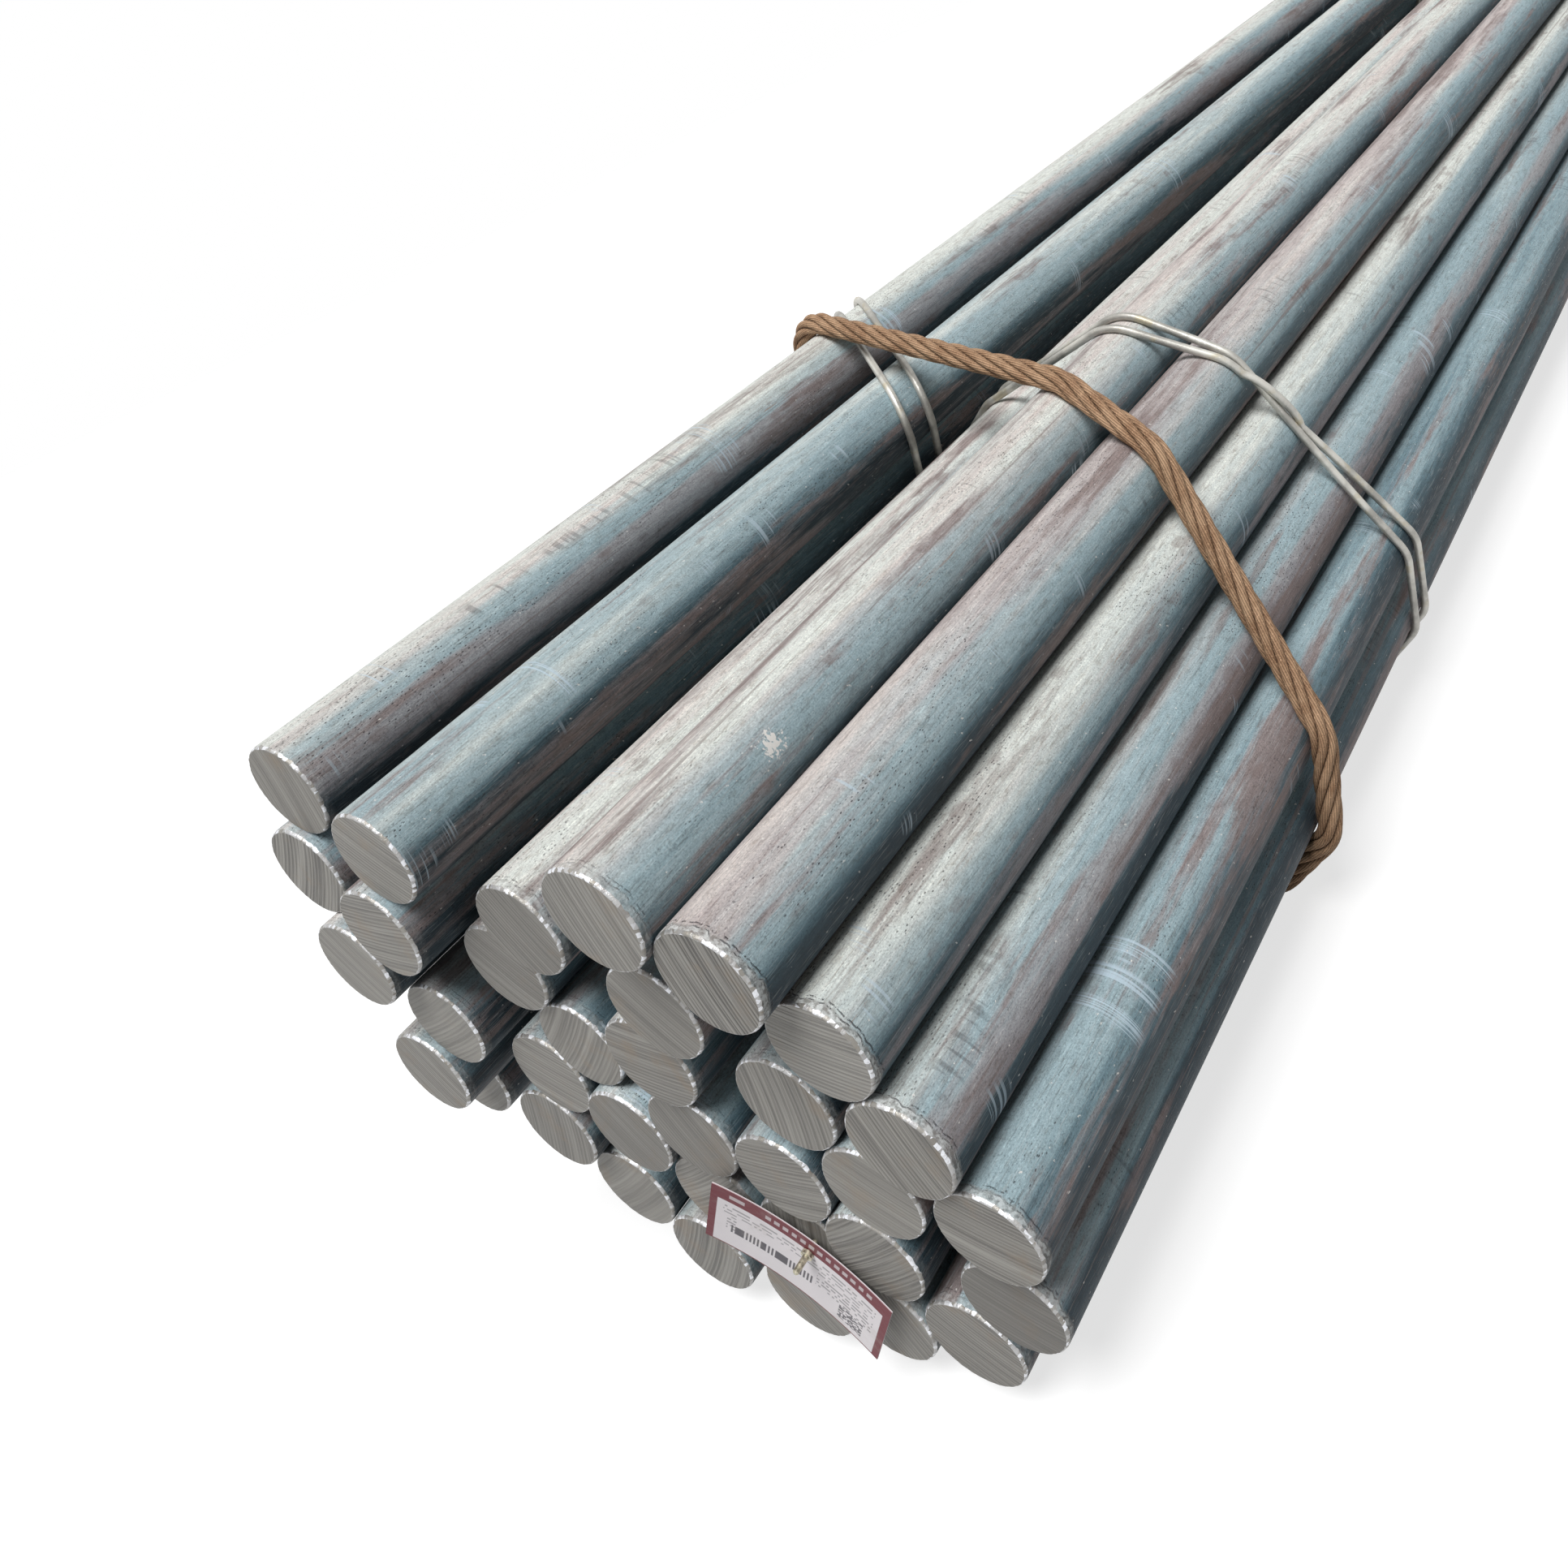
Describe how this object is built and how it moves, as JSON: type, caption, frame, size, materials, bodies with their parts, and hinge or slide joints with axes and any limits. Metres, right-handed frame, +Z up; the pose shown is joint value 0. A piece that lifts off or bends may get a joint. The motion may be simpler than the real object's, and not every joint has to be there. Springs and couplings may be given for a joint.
{
  "type": "bundle of round steel bars",
  "caption": "Raw stock: a bundle of long round steel bars in two wire-tied groups side by side, held together by a wire rope, with a tag on the sawn ends.",
  "frame": {"origin": "centre of the bundle's footprint, at the level it lies on", "axes": "+X along the bars, out of the sawn ends that carry the tag; +Y across, to the right as seen from those ends; +Z up"},
  "size_m": [6.05, 0.5797, 0.5063],
  "materials": {
    "mill_scale": "hot-rolled blue-grey mill scale with lighter streaks, bright chipped rims and sawn ends",
    "tie_wire": "dull drawn wire, slightly stained",
    "rope_wire": "six-strand wire rope covered with even brown rust",
    "tag": "pale printed tag with a dark red band",
    "pin": "small dull yellow pin"
  },
  "bodies": {
    "root": {"bar_01": "mill_scale", "bar_02": "mill_scale", "bar_03": "mill_scale", "bar_04": "mill_scale", "bar_05": "mill_scale", "bar_06": "mill_scale", "bar_07": "mill_scale", "bar_08": "mill_scale", "bar_09": "mill_scale", "bar_10": "mill_scale", "bar_11": "mill_scale", "bar_12": "mill_scale", "bar_13": "mill_scale", "bar_14": "mill_scale", "bar_15": "mill_scale", "bar_16": "mill_scale", "bar_17": "mill_scale", "bar_18": "mill_scale", "bar_19": "mill_scale", "bar_20": "mill_scale", "bar_21": "mill_scale", "bar_22": "mill_scale", "bar_23": "mill_scale", "bar_24": "mill_scale", "bar_25": "mill_scale", "bar_26": "mill_scale", "bar_27": "mill_scale", "bar_28": "mill_scale", "bar_29": "mill_scale", "bar_30": "mill_scale", "bar_31": "mill_scale", "bar_32": "mill_scale", "bar_33": "mill_scale", "bar_34": "mill_scale", "tie_right_1": "tie_wire", "tie_right_2": "tie_wire", "tie_right_3": "tie_wire", "tie_right_4": "tie_wire", "tie_left_1": "tie_wire", "tie_left_2": "tie_wire", "tie_left_3": "tie_wire", "tie_left_4": "tie_wire", "rope": "rope_wire", "tag": "tag", "tag_pin": "pin"}
  },
  "joints": []
}
